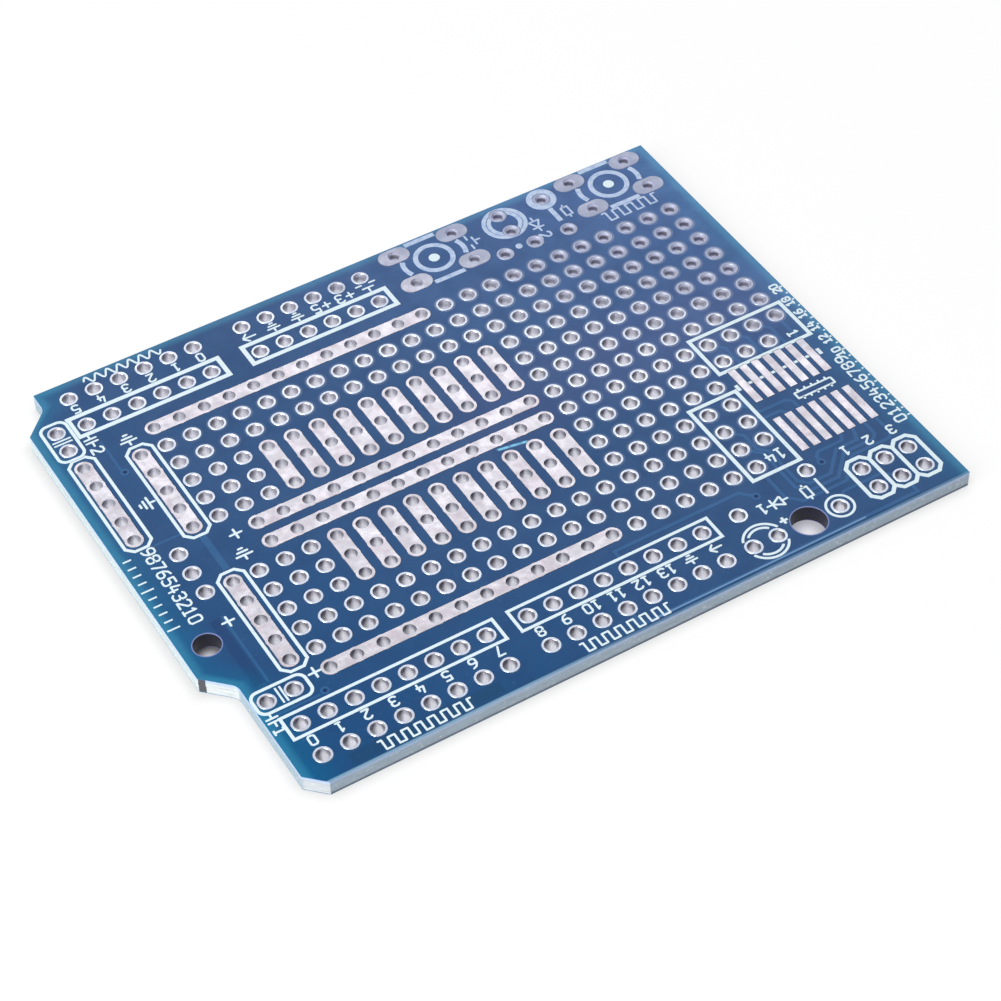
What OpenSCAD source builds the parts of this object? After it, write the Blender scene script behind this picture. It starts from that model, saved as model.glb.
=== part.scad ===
// Prototype board: a bare double-sided circuit board with a grid of plated holes.
// Millimetres. X runs along the long side, Y away from the near edge, Z up.
// The origin is at the centre of the board, on the surface that it lies on.

/* [Board] */
// Length of the board
board_l = 68.8; // [68.6:0.1:70]
// Width of the board
board_w = 53.1; // [52.9:0.1:54]
// Thickness of the glass laminate
board_t = 1.6; // [1:0.1:2]
// How far the left side steps in at each end
step_depth = 2.5; // [2:0.02:2.6]
// Straight length beside the far end of the step
far_step_l = 2.19; // [1.8:0.01:2.4]
// Distance from the far edge to where the near step starts
near_step_start = 37.8; // [37.4:0.05:38]
// Chamfer of the near left corner
corner_chamfer = 1.7; // [1:0.1:2]
// Radius that the router leaves in the two inner corners
router_r = 1.2; // [0.5:0.1:1.6]

/* [Layers] */
// Thickness of the solder mask film
mask_t = 0.06; // [0.04:0.01:0.08]
// Bare gap between the mask and a pad
mask_gap = 0.05; // [0.03:0.01:0.08]
// Height of the tinned copper above the laminate
land_t = 0.09; // [0.085:0.005:0.12]
// Thickness of a copper track under the mask
track_t = 0.03; // [0.02:0.005:0.04]
// Width of a copper track
track_w = 0.25; // [0.2:0.01:0.3]
// Thickness of the printed ink
ink_t = 0.03; // [0.025:0.005:0.04]
// Width of the printed lines at the near headers, the side strips and the capacitors
line_w = 0.3; // [0.24:0.01:0.34]
// Width of the thin printed lines at the near lamp and its resistor
thin_line_w = 0.24; // [0.18:0.01:0.28]
// Width of the printed boxes at the breakouts and the programming header
box_line_w = 0.38; // [0.3:0.01:0.42]
// Width of the printed boxes at the far headers
far_line_w = 0.45; // [0.3:0.01:0.48]
// Width of the printed lines at the switches and the far resistor
bold_line_w = 0.5; // [0.35:0.01:0.55]

/* [Plated holes] */
// Distance between neighbouring holes
pitch = 2.54; // [2.53:0.005:2.55]
// Clear diameter of a plated hole
hole_d = 1.2; // [0.9:0.05:1.25]
// Outer diameter of a pad
pad_d = 1.7; // [1.6:0.05:1.75]
// Wall of the plated barrel
plating_t = 0.06; // [0.04:0.01:0.08]
// Chamfer at the mouth of a plated hole
mouth_chamfer = 0.05; // [0.02:0.01:0.05]
// Width of the bare strip that joins several holes
strip_w = 1.6; // [1.4:0.05:1.65]
// Outer diameter of a via under the mask
via_d = 0.75; // [0.6:0.05:0.8]
// Open diameter of a via
via_hole_d = 0.35; // [0.3:0.05:0.4]

/* [Headers] */
// Distance from the left edge to the first header hole
header_left_inset = 5.08; // [4.9:0.02:5.2]
// Distance from the near edge to the near outer row
near_header_inset = 2.72; // [2.5:0.02:2.9]
// Distance from the far edge to the far outer row
far_header_inset = 2.12; // [2:0.02:2.3]
// Distance between the outer and the inner row
header_row_gap = 3.81; // [3.7:0.01:3.9]
// Distance between the last and the first hole of the two digital blocks
digital_block_gap = 4.064; // [4:0.008:4.2]

/* [Hole field] */
// Distance from the left edge to the first column of the field
field_left_inset = 10.06; // [10:0.02:10.2]
// Distance from the far edge to the first row of the field
field_far_inset = 9.59; // [9.5:0.01:9.7]

/* [Mounting holes] */
// Diameter of the mounting hole at the left side
left_mount_d = 2.5; // [2.2:0.1:2.8]
// Diameter of the mounting hole at the near side
near_mount_d = 3.3; // [3:0.1:3.4]
// Distance from the left edge to the left mounting hole
left_mount_inset = 2.4; // [2.3:0.05:2.6]
// Distance from the far edge to the left mounting hole
left_mount_far = 35; // [34.6:0.1:35.4]
// Distance from the left edge to the near mounting hole
near_mount_left = 53.4; // [53.2:0.1:53.6]

/* [Chip footprint] */
// Distance between neighbouring chip pads
chip_pitch = 1.27; // [1.26:0.005:1.28]
// Width of a chip pad
chip_pad_w = 0.75; // [0.6:0.05:0.85]
// Length of a chip pad
chip_pad_l = 4.65; // [4.2:0.05:4.8]
// Distance between the outer ends of the two rows of chip pads
chip_span = 11.85; // [11.6:0.05:12]
// How far the first chip pad lies to the left of its breakout hole
chip_left_shift = 0.12; // [0:0.02:0.2]

/* [Switches] */
// Distance between the switch pads along the board
switch_span_x = 6.4; // [6.2:0.1:6.5]
// Distance between the switch pads across the board
switch_span_y = 4.4; // [4.2:0.1:4.5]
// Length of a switch pad
switch_pad_l = 3.2; // [2.6:0.1:3.3]
// Width of a switch pad
switch_pad_w = 2; // [1.7:0.1:2]
// Middle radius of the printed button circle
button_ring_r = 1.8; // [1.5:0.1:1.9]

/* [Printed outlines] */
// Distance from a hole to the printed box around its row
box_reach = 1.27; // [1.2:0.01:1.27]
// Corner chamfer of the eight-sided outlines
outline_chamfer = 0.64; // [0.4:0.04:0.8]
// Middle radius of the outer arcs of the near lamp
led_ring_r = 2; // [1.9:0.05:2.1]
// Middle radius of the inner arcs of the near lamp
led_inner_r = 1.55; // [1.4:0.05:1.6]
// Outer radius of the two printed rings of the far lamp
far_led_r = 2.25; // [2:0.05:2.3]
// Width of each printed ring of the far lamp
far_led_w = 0.43; // [0.3:0.01:0.46]
// Middle radius of the ring at the near resistor
resistor_ring_r = 1.27; // [1.2:0.01:1.35]
// Outer radius of the broad ring at the far resistor
far_resistor_r = 1.5; // [1.4:0.02:1.6]

/* [Places] */
// Distance from the right edge to the last holes of the programming header
programming_inset = 2.74; // [2.7:0.01:2.8]
// Distance from the right edge to the middle of the reset switch
reset_inset = 5.9; // [5.8:0.05:6]
// Distance from the far edge to the middle of the reset switch
reset_far_inset = 3.28; // [3.2:0.02:3.4]
// Distance from the left edge to the middle of the user switch
user_left_inset = 43.01; // [42.9:0.01:43.1]
// Distance from the far edge to the middle of the user switch
user_far_inset = 3.4; // [3.3:0.02:3.5]
// Distance from the left edge to the middle of the near lamp
near_lamp_left = 48.86; // [48.8:0.02:48.9]
// Distance from the left edge to the middle of the far lamp
far_lamp_left = 51.25; // [51.1:0.05:51.4]
// Distance from the left edge to the near resistor
near_resistor_left = 56.72; // [56.6:0.02:56.8]
// Distance from the left edge to the far resistor
far_resistor_left = 56.1; // [56:0.05:56.2]

/* [Hidden] */

$fn = 48;

mask_blue = [0.13, 0.32, 0.56];
tin_grey = [0.82, 0.81, 0.84];
ink_white = [0.9, 0.96, 0.96];
laminate_grey = [0.74, 0.75, 0.74];
track_blue = [0.3, 0.5, 0.72];

// Edges of the board
left_x = -board_l / 2;
far_y = board_w / 2;
near_y = -board_w / 2;

// Levels from the resting surface up
laminate_z = mask_t;
top_z = laminate_z + board_t;
mask_top_z = top_z + mask_t;
land_top_z = top_z + land_t;

// A ridge of mask runs over each track and round each via
ridge_h = 0.02;
ridge_w = track_w + 2 * mask_t;
via_ridge_d = via_d + 2 * mask_t;

// Field of holes
last_col = 22;
function col_x(c) = left_x + field_left_inset + pitch * c;
function row_y(r) = far_y - field_far_inset - pitch * r;
function row_of_holes(r, from, to) = [for (c = [from:to]) [col_x(c), row_y(r)]];
function block_of_holes(r0, r1, c0, c1) = [for (r = [r0:r1], c = [c0:c1]) [col_x(c), row_y(r)]];

// Header rows
header_x = left_x + header_left_inset;
digital_count = 8;
analog_count = 6;
second_digital_x = header_x + (digital_count - 1) * pitch + digital_block_gap;
power_x = header_x + (analog_count + 1) * pitch;
near_outer_y = near_y + near_header_inset;
near_inner_y = near_outer_y + header_row_gap;
far_outer_y = far_y - far_header_inset;
far_inner_y = far_outer_y - header_row_gap;
function run_of_holes(x, y, n) = [for (i = [0:n - 1]) [x + pitch * i, y]];
function digital_row(y) = concat(run_of_holes(header_x, y, digital_count),
    run_of_holes(second_digital_x, y, digital_count));
outer_digital = digital_row(near_outer_y);
inner_digital = digital_row(near_inner_y);
outer_analog = run_of_holes(header_x, far_outer_y, analog_count);
inner_analog = run_of_holes(header_x, far_inner_y, analog_count);
outer_power = run_of_holes(power_x, far_outer_y, analog_count);
inner_power = run_of_holes(power_x, far_inner_y, analog_count);

// Single pads of the field
far_field = concat(row_of_holes(0, 12, last_col), block_of_holes(1, 2, 0, last_col));
left_field = concat(block_of_holes(3, 5, 0, 2), block_of_holes(8, 10, 0, 2));
right_field = concat(block_of_holes(3, 6, 13, last_col), row_of_holes(7, 13, 18),
    block_of_holes(8, 9, 13, 18), row_of_holes(10, 13, 16));
near_field = concat(block_of_holes(11, 12, 0, 16), row_of_holes(13, 12, 16));

// Strips and rails, each a list of the holes that it joins
first_dip_col = 3;
last_dip_col = 12;
function dip_strip(c, r) = [for (i = [0:2]) [col_x(c), row_y(r + i)]];
far_dip = [for (c = [first_dip_col:last_dip_col]) dip_strip(c, 3)];
near_dip = [for (c = [first_dip_col:last_dip_col]) dip_strip(c, 8)];
far_rail = row_of_holes(0, 0, 11);
supply_rail = row_of_holes(6, 1, 12);
ground_rail = row_of_holes(7, 1, 12);
near_rail = row_of_holes(13, 0, 11);
side_holes = 5;
function side_strip(c, r) = [for (i = [0:side_holes - 1]) [col_x(c), row_y(r + i)]];
edge_side = side_strip(-3, 0.5);
ground_side = side_strip(-1, 1);
supply_side = side_strip(-1, 8);

// Loose pads lie a little off the rows
loose_shift = 0.24;
loose = [for (r = [6:8]) [col_x(-2), row_y(r) + loose_shift]];

// How far the printed boxes lie off their holes
side_print_shift = 0.1;
far_print_shift = 0.08;

// Two small capacitors, one across and one along the board
capacitor_1 = [left_x + 5.07, near_inner_y + 3.5];
capacitor_2 = [left_x + 2.23, far_y - 6.85];
capacitor_1_holes = [for (s = [-1, 1]) capacitor_1 + [s * pitch / 2, 0]];
capacitor_2_holes = [for (s = [-1, 1]) capacitor_2 + [0, s * pitch / 2]];
capacitor_mark_shift = 0.12;
capacitor_box = [pitch + 2.5, 2.5];
capacitor_corner_r = 0.75;

// Programming header, lamps, resistors and the two link pads
programming_x = board_l / 2 - programming_inset - 2 * pitch;
programming_y = near_outer_y + 0.15;
programming = [for (c = [0:2], r = [0:1]) [programming_x + pitch * c, programming_y + pitch * r]];
led_1 = [left_x + near_lamp_left, near_outer_y + 0.08];
led_2 = [left_x + far_lamp_left, far_y - 2.8];
led_1_holes = [for (s = [-1, 1]) led_1 + [s * pitch / 2, 0]];
led_2_holes = [for (s = [-1, 1]) led_2 + [0, s * pitch / 2]];
resistor_1_ring = [left_x + near_resistor_left, near_outer_y + 0.04];
resistor_2_ring = [left_x + far_resistor_left, far_y - 1.7];
resistor_1_end = resistor_1_ring + [0, 2 * pitch];
resistor_2_end = resistor_2_ring - [0, 2 * pitch];
lone_hole = [led_1[0] - 0.32, near_inner_y + 0.02];
link_y = far_y - 6.6;
link_holes = [for (x = [-2.2, 1.15]) [led_2[0] + x, link_y]];

// Two push switches
user_switch = [left_x + user_left_inset, far_y - user_far_inset];
reset_switch = [board_l / 2 - reset_inset, far_y - reset_far_inset];
function switch_holes(p) = [for (sx = [-1, 1], sy = [-1, 1])
    p + [sx * switch_span_x / 2, sy * switch_span_y / 2]];

// Breakout pads beside the chip footprint
far_breakout = concat(row_of_holes(7, 19, 22), row_of_holes(8, 19, 21));
near_breakout = concat(block_of_holes(10, 12, 17, 18), row_of_holes(13, 17, 17));

// Chip footprint
chip_count = 7;
chip_x = col_x(19) - chip_left_shift;
chip_mid_y = row_y(11) + 0.31;
chip_far_y = chip_mid_y + (chip_span - chip_pad_l) / 2;
chip_near_y = chip_mid_y - (chip_span - chip_pad_l) / 2;
function chip_pad_x(i) = chip_x + chip_pitch * i;
chip_near_edge = chip_near_y - chip_pad_l / 2;

// Mounting holes
left_mount = [left_x + left_mount_inset, far_y - left_mount_far];
near_mount = [left_x + near_mount_left, near_outer_y + 0.05];

// Vias
via_a = [left_x + 51.15, near_inner_y + 1.07];
via_b = [programming_x - 2.52, near_inner_y + 1.42];
via_c = [left_x + 5.37, far_y - 13.22];
via_d_place = [left_x + 8.44, near_inner_y + 1.97];
via_places = [via_a, via_b, via_c, via_d_place];

// Tracks of the breakout, from a pad of the box to a chip pad
far_breakout_y = chip_far_y + chip_pad_l / 2;
function drop_route(c) = [[col_x(c), row_y(8)], [col_x(c), far_breakout_y]];
function side_route(c, i) = [[col_x(c), row_y(7)],
    [chip_pad_x(i), row_y(7) - (chip_pad_x(i) - col_x(c))],
    [chip_pad_x(i), far_breakout_y]];
far_routes = [for (i = [0:6]) (i == 6) ? [[col_x(22), row_y(7)], [col_x(22), far_breakout_y]]
    : (i % 2 == 0) ? drop_route(19 + i / 2) : side_route(19 + (i - 1) / 2, i)];

// Tracks that leave the near box for the near row of chip pads
function chip_in(i) = [chip_pad_x(i), chip_near_y + chip_pad_l / 2];
function chip_out(i) = [chip_pad_x(i), chip_near_edge];
lane = 0.73;
function lane_y(i) = near_inner_y - 0.15 - lane * i;
lane_turn_x = via_b[0] - 0.15;
near_gate_x = col_x(17) + 1.46;
mid_gate_x = col_x(17) + pitch / 2;
mid_gate_y = row_y(12) - 0.7;
far_gate_x = near_gate_x + 0.6;
near_routes = [
    [[col_x(18), row_y(12)], [chip_pad_x(0), row_y(12)]],
    [[col_x(18), row_y(11)], [col_x(18) + 0.42, row_y(11) - 0.42],
        [chip_pad_x(1) - 0.45, row_y(11) - 0.42], chip_in(1)],
    [[col_x(18), row_y(10)], [col_x(18) + pitch / 2, row_y(10) - pitch / 2],
        [col_x(18) + pitch / 2, row_y(11) + 0.9], [col_x(18) + pitch / 2 + 0.45, row_y(11) + 0.45],
        [chip_pad_x(2) - 0.5, row_y(11) + 0.45], [chip_pad_x(2), row_y(11) - 0.05], chip_in(2)],
    [via_b, via_b + [0, 0.75], via_b + [0.45, 1.2], [chip_pad_x(3) - 0.45, via_b[1] + 1.2], chip_out(3)],
    [[col_x(17), row_y(11)], [mid_gate_x, row_y(11) - pitch / 2], [mid_gate_x, mid_gate_y],
        [far_gate_x, mid_gate_y - (far_gate_x - mid_gate_x)], [far_gate_x, lane_y(0) + 0.8],
        [far_gate_x + 0.8, lane_y(0)], [lane_turn_x, lane_y(0)],
        [lane_turn_x + 2.14, lane_y(0) + 2.14], [chip_pad_x(4) - 0.5, lane_y(0) + 2.14], chip_out(4)],
    [[col_x(17), row_y(12)], [near_gate_x, row_y(12) - (near_gate_x - col_x(17))],
        [near_gate_x, lane_y(1) + 1], [near_gate_x + 1, lane_y(1)], [lane_turn_x + 0.33, lane_y(1)],
        [lane_turn_x + 2.5, lane_y(1) + 2.17], [chip_pad_x(5) - 0.5, lane_y(1) + 2.17],
        [chip_pad_x(5), lane_y(1) + 2.67], chip_out(5)],
    [[col_x(17), row_y(13)], [col_x(17), lane_y(2) + 1.2], [col_x(17) + 1.2, lane_y(2)],
        [lane_turn_x + 0.7, lane_y(2)], [lane_turn_x + 2.95, lane_y(2) + 2.25],
        [chip_pad_x(6) - 0.5, lane_y(2) + 2.25], [chip_pad_x(6), lane_y(2) + 2.75], chip_out(6)]];

// Tracks from the header rows to a via and to the programming header
edge_lane_y = near_y + 0.55;
signal_12 = [second_digital_x + pitch * 4, near_inner_y];
signal_11 = [second_digital_x + pitch * 3, near_outer_y];
signal_routes = [
    [signal_12, signal_12 + [0, 2.2], [via_a[0] - 1.13, near_inner_y + 2.2], via_a],
    [signal_11, [signal_11[0], edge_lane_y], [programming_x + pitch, edge_lane_y],
        [programming_x + pitch, programming_y]],
    [resistor_1_ring, resistor_1_ring + [1.25, 1.25],
        [programming_x + pitch - 1.4, resistor_1_ring[1] + 1.25],
        [programming_x + pitch, programming_y]]];

// Every group of holes, for drilling and for the openings in the mask
single_holes = concat(outer_digital, inner_digital, outer_analog, inner_analog, outer_power,
    inner_power, far_field, left_field, right_field, near_field, loose, capacitor_1_holes,
    capacitor_2_holes, programming, led_1_holes, led_2_holes,
    [resistor_1_ring, resistor_1_end, resistor_2_ring, resistor_2_end, lone_hole],
    link_holes, far_breakout, near_breakout);
joined_holes = concat(far_dip, near_dip,
    [far_rail, supply_rail, ground_rail, near_rail, edge_side, ground_side, supply_side]);
switch_places = concat(switch_holes(user_switch), switch_holes(reset_switch));

// Flat shapes

module disc_at(places, d) {
    for (p = places) translate(p) circle(d = d);
}

function unit(v) = v / norm(v);
function left_of(a, b) = let (u = unit(b - a)) [-u[1], u[0]];
function mitre(a, b, c) = let (m = left_of(a, b), n = left_of(b, c)) (m + n) / (1 + m * n);
function side_vector(pts, i) = i == 0 ? left_of(pts[0], pts[1])
    : i == len(pts) - 1 ? left_of(pts[i - 1], pts[i]) : mitre(pts[i - 1], pts[i], pts[i + 1]);
function ribbon(pts, w) = let (n = len(pts)) concat(
    [for (i = [0:n - 1]) pts[i] + side_vector(pts, i) * w / 2],
    [for (i = [n - 1:-1:0]) pts[i] - side_vector(pts, i) * w / 2]);

module routes(list, w) {
    for (r = list) polygon(ribbon(r, w));
}

// The edges meet at 135 degrees in the two inner corners, and the router rounds them
module board_outline() {
    inner_x = left_x + step_depth;
    far_corner = [inner_x, far_y - far_step_l];
    near_corner = [inner_x, far_y - near_step_start - step_depth];
    tangent_l = router_r * tan(22.5);
    slant = tangent_l / sqrt(2);
    router_reach = router_r / cos(22.5);
    difference() {
        polygon([[board_l / 2, far_y], [inner_x, far_y],
            far_corner + [0, tangent_l], far_corner - [slant, slant],
            [left_x, far_corner[1] - step_depth], [left_x, near_corner[1] + step_depth],
            near_corner + [-slant, slant], near_corner - [0, tangent_l],
            [inner_x, near_y + corner_chamfer], [inner_x + corner_chamfer, near_y],
            [board_l / 2, near_y]]);
        translate(far_corner) rotate(157.5) translate([router_reach, 0]) circle(r = router_r);
        translate(near_corner) rotate(202.5) translate([router_reach, 0]) circle(r = router_r);
    }
}

module strip_shape(holes, w, d) {
    first = holes[0];
    last = holes[len(holes) - 1];
    size = last - first;
    disc_at(holes, d);
    translate((first + last) / 2) square([max(abs(size[0]), w), max(abs(size[1]), w)], center = true);
}

module oblong(l, w) {
    square([l - w, w], center = true);
    for (s = [-1, 1]) translate([s * (l - w) / 2, 0]) circle(d = w);
}

module bare_areas(gap) {
    disc_at(single_holes, pad_d + 2 * gap);
    for (s = joined_holes) strip_shape(s, strip_w + 2 * gap, pad_d + 2 * gap);
    for (p = switch_places) translate(p) oblong(switch_pad_l + 2 * gap, switch_pad_w + 2 * gap);
    mounting_holes();
}

module mounting_holes() {
    disc_at([left_mount], left_mount_d);
    disc_at([near_mount], near_mount_d);
}

module chip_openings(gap) {
    for (i = [0:chip_count - 1], y = [chip_far_y, chip_near_y])
        translate([chip_pad_x(i), y]) square([chip_pad_w + 2 * gap, chip_pad_l + 2 * gap], center = true);
}

module rounded_box(l, w, r) {
    square([l - 2 * r, w], center = true);
    square([l, w - 2 * r], center = true);
    for (sx = [-1, 1], sy = [-1, 1]) translate([sx * (l / 2 - r), sy * (w / 2 - r)]) circle(r = r);
}

function cut_box(l, w, c) = [[l / 2 - c, w / 2], [l / 2, w / 2 - c],
    [l / 2, c - w / 2], [l / 2 - c, -w / 2], [c - l / 2, -w / 2], [-l / 2, c - w / 2],
    [-l / 2, w / 2 - c], [c - l / 2, w / 2]];

// A line of even width along an eight-sided box
module cut_frame(l, w, line) {
    grow = line * (1 - 1 / sqrt(2));
    difference() {
        polygon(cut_box(l + line, w + line, outline_chamfer + grow));
        polygon(cut_box(l - line, w - line, outline_chamfer - grow));
    }
}

// A box or an eight-sided box around a row or block of holes, given by its first and last
module frame_around(holes, line) {
    first = holes[0];
    last = holes[len(holes) - 1];
    size = [abs(last[0] - first[0]), abs(last[1] - first[1])] + [2, 2] * box_reach;
    translate((first + last) / 2) difference() {
        square(size + [line, line], center = true);
        square(size - [line, line], center = true);
    }
}

module cut_frame_around(holes, line) {
    first = holes[0];
    last = holes[len(holes) - 1];
    translate((first + last) / 2) cut_frame(abs(last[0] - first[0]) + 2 * box_reach,
        abs(last[1] - first[1]) + 2 * box_reach, line);
}

module ring(r, w) {
    difference() {
        circle(r = r + w / 2);
        circle(r = r - w / 2);
    }
}

// Part of a ring, half_angle to each side of its middle direction
module arc(r, w, half_angle) {
    reach = r + w;
    intersection() {
        ring(r, w);
        polygon([[0, 0], [reach, -reach * tan(half_angle)], [reach, reach * tan(half_angle)]]);
    }
}

// Solids

module plated_hole() {
    hole_r = hole_d / 2;
    barrel_r = hole_r + plating_t;
    pad_r = pad_d / 2;
    edge = mouth_chamfer / 2;
    rotate_extrude() polygon([[hole_r + mouth_chamfer, 0], [pad_r, 0], [pad_r, laminate_z],
        [barrel_r, laminate_z], [barrel_r, top_z], [pad_r, top_z], [pad_r, land_top_z - edge],
        [pad_r - edge, land_top_z], [hole_r + mouth_chamfer, land_top_z],
        [hole_r, land_top_z - mouth_chamfer], [hole_r, mouth_chamfer]]);
}

module plated_holes(places) {
    color(tin_grey) for (p = places) translate(p) plated_hole();
}

// Lands on both faces, joined by a barrel in each hole
module plated_area(holes) {
    color(tin_grey) {
        translate([0, 0, top_z]) linear_extrude(land_t) difference() {
            children();
            disc_at(holes, hole_d);
        }
        linear_extrude(mask_t) difference() {
            children();
            disc_at(holes, hole_d);
        }
        translate([0, 0, laminate_z]) linear_extrude(board_t) difference() {
            disc_at(holes, hole_d + 2 * plating_t);
            disc_at(holes, hole_d);
        }
    }
}

module joined_strips(list) {
    for (s = list) plated_area(s) strip_shape(s, strip_w, pad_d);
}

module switch_pads(p) {
    for (q = switch_holes(p)) plated_area([q]) translate(q) oblong(switch_pad_l, switch_pad_w);
}

module track_shapes(w, round_d) {
    routes(far_routes, w);
    routes(near_routes, w);
    routes(signal_routes, w);
    disc_at(via_places, round_d);
}

// Outlines of the ridges, with a dimple over the bore of each via
module ridge_shapes() {
    difference() {
        track_shapes(ridge_w, via_ridge_d);
        disc_at(via_places, via_hole_d);
    }
}

module copper_tracks(list) {
    color(track_blue) translate([0, 0, top_z]) linear_extrude(track_t) difference() {
        routes(list, track_w);
        bare_pads();
        disc_at(via_places, via_d);
    }
}

// The tinned copper that a track runs into
module bare_pads() {
    disc_at(single_holes, pad_d);
    chip_openings(0);
}

module ink() {
    color(ink_white) difference() {
        translate([0, 0, mask_top_z]) linear_extrude(ink_t) children();
        translate([0, 0, mask_top_z]) linear_extrude(ridge_h) ridge_shapes();
    }
}

// Sub-parts

module laminate() {
    color(laminate_grey) translate([0, 0, laminate_z]) linear_extrude(board_t) difference() {
        board_outline();
        disc_at(single_holes, hole_d + 2 * plating_t);
        for (s = joined_holes) disc_at(s, hole_d + 2 * plating_t);
        disc_at(switch_places, hole_d + 2 * plating_t);
        mounting_holes();
        disc_at(via_places, via_hole_d + 2 * plating_t);
    }
}

module top_solder_mask() {
    color(mask_blue) translate([0, 0, top_z]) difference() {
        linear_extrude(mask_t + ridge_h) difference() {
            board_outline();
            bare_areas(mask_gap);
            chip_openings(mask_gap);
        }
        translate([0, 0, mask_t]) linear_extrude(ridge_h + 1) difference() {
            square([board_l + 2, board_w + 2], center = true);
            ridge_shapes();
        }
        linear_extrude(track_t) track_shapes(track_w, via_d);
    }
}

module bottom_solder_mask() {
    color(mask_blue) linear_extrude(mask_t) difference() {
        board_outline();
        bare_areas(mask_gap);
        disc_at(via_places, via_hole_d);
    }
}

module breakout_tracks() { copper_tracks(concat(far_routes, near_routes)); }
module signal_tracks() { copper_tracks(signal_routes); }

module vias() {
    color(track_blue) for (p = via_places) translate(p) {
        translate([0, 0, top_z]) linear_extrude(track_t) difference() {
            circle(d = via_d);
            circle(d = via_hole_d);
        }
        translate([0, 0, laminate_z]) linear_extrude(board_t) difference() {
            circle(d = via_hole_d + 2 * plating_t);
            circle(d = via_hole_d);
        }
    }
}

module outer_digital_pads() { plated_holes(outer_digital); }
module inner_digital_pads() { plated_holes(inner_digital); }
module outer_analog_pads() { plated_holes(outer_analog); }
module inner_analog_pads() { plated_holes(inner_analog); }
module outer_power_pads() { plated_holes(outer_power); }
module inner_power_pads() { plated_holes(inner_power); }
module far_field_pads() { plated_holes(far_field); }
module left_field_pads() { plated_holes(left_field); }
module right_field_pads() { plated_holes(right_field); }
module near_field_pads() { plated_holes(near_field); }
module far_dip_strips() { joined_strips(far_dip); }
module near_dip_strips() { joined_strips(near_dip); }
module far_ground_rail() { joined_strips([far_rail]); }
module centre_supply_rail() { joined_strips([supply_rail]); }
module centre_ground_rail() { joined_strips([ground_rail]); }
module near_supply_rail() { joined_strips([near_rail]); }
module edge_strip() { joined_strips([edge_side]); }
module ground_strip() { joined_strips([ground_side]); }
module supply_strip() { joined_strips([supply_side]); }
module loose_pads() { plated_holes(concat(loose, [lone_hole])); }
module capacitor_pads() { plated_holes(concat(capacitor_1_holes, capacitor_2_holes)); }
module programming_pads() { plated_holes(programming); }
module led_pads() { plated_holes(concat(led_1_holes, led_2_holes)); }
module resistor_pads() {
    plated_holes([resistor_1_ring, resistor_1_end, resistor_2_ring, resistor_2_end]);
}
module link_pads() { plated_holes(link_holes); }
module user_switch_pads() { switch_pads(user_switch); }
module reset_switch_pads() { switch_pads(reset_switch); }
module far_breakout_pads() { plated_holes(far_breakout); }
module near_breakout_pads() { plated_holes(near_breakout); }

module chip_row(y) {
    color(tin_grey) for (i = [0:chip_count - 1]) translate([chip_pad_x(i), y, top_z])
        linear_extrude(land_t) square([chip_pad_w, chip_pad_l], center = true);
}
module chip_far_pads() { chip_row(chip_far_y); }
module chip_near_pads() { chip_row(chip_near_y); }

module header_legend() {
    ink() {
        for (x = [header_x, second_digital_x])
            frame_around(run_of_holes(x, near_inner_y, digital_count), line_w);
        difference() {
            translate([0, far_print_shift]) {
                frame_around(inner_analog, far_line_w);
                frame_around(inner_power, far_line_w);
            }
            translate(capacitor_2) rotate(90) capacitor_outline(line_w / 2 + mask_gap);
        }
    }
}

module strip_legend() {
    ink() difference() {
        translate([side_print_shift, 0])
            for (s = [edge_side, ground_side, supply_side]) cut_frame_around(s, line_w);
        translate(capacitor_2) rotate(90) capacitor_outline(line_w / 2 + mask_gap);
    }
}

module capacitor_outline(grow) {
    rounded_box(capacitor_box[0] + 2 * grow, capacitor_box[1] + 2 * grow, capacitor_corner_r + grow);
}

// Rounded outline with the two bars of a capacitor between its pads
module capacitor_mark() {
    bar_size = [0.18, 1.8];
    bar_gap = 0.4;
    difference() {
        capacitor_outline(line_w / 2);
        capacitor_outline(-line_w / 2);
    }
    for (s = [-1, 1]) translate([s * bar_gap / 2, 0]) square(bar_size, center = true);
}

module capacitor_legend() {
    ink() difference() {
        union() {
            translate(capacitor_1 + [capacitor_mark_shift, 0]) capacitor_mark();
            translate(capacitor_2) rotate(90) capacitor_mark();
        }
        disc_at(concat(capacitor_1_holes, capacitor_2_holes), pad_d + 2 * mask_gap);
    }
}

module breakout_legend() {
    ink() difference() {
        union() {
            frame_around([[col_x(19), row_y(7)], [col_x(22), row_y(8)]], box_line_w);
            frame_around([[col_x(17), row_y(10)], [col_x(18), row_y(13)]], box_line_w);
        }
        chip_openings(mask_gap);
    }
}

module programming_legend() {
    ink() for (c = [0:2])
        cut_frame_around([programming[2 * c], programming[2 * c + 1]], box_line_w);
}

// Button circle, its dot, and the case lines between the pads
module switch_mark() {
    bar_l = 3.3;
    bar_places = [2.95, -3.05];
    side_r = 2.2;
    side_x = 1;
    dot_r = 0.54;
    ring(button_ring_r, bold_line_w);
    circle(r = dot_r);
    for (y = bar_places) translate([0, y]) square([bar_l, bold_line_w], center = true);
    for (turn = [0, 180]) rotate(turn) translate([side_x, 0]) arc(side_r, bold_line_w, 27);
}

module switch_legend() {
    ink() for (p = [user_switch, reset_switch]) translate(p) switch_mark();
}

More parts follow.
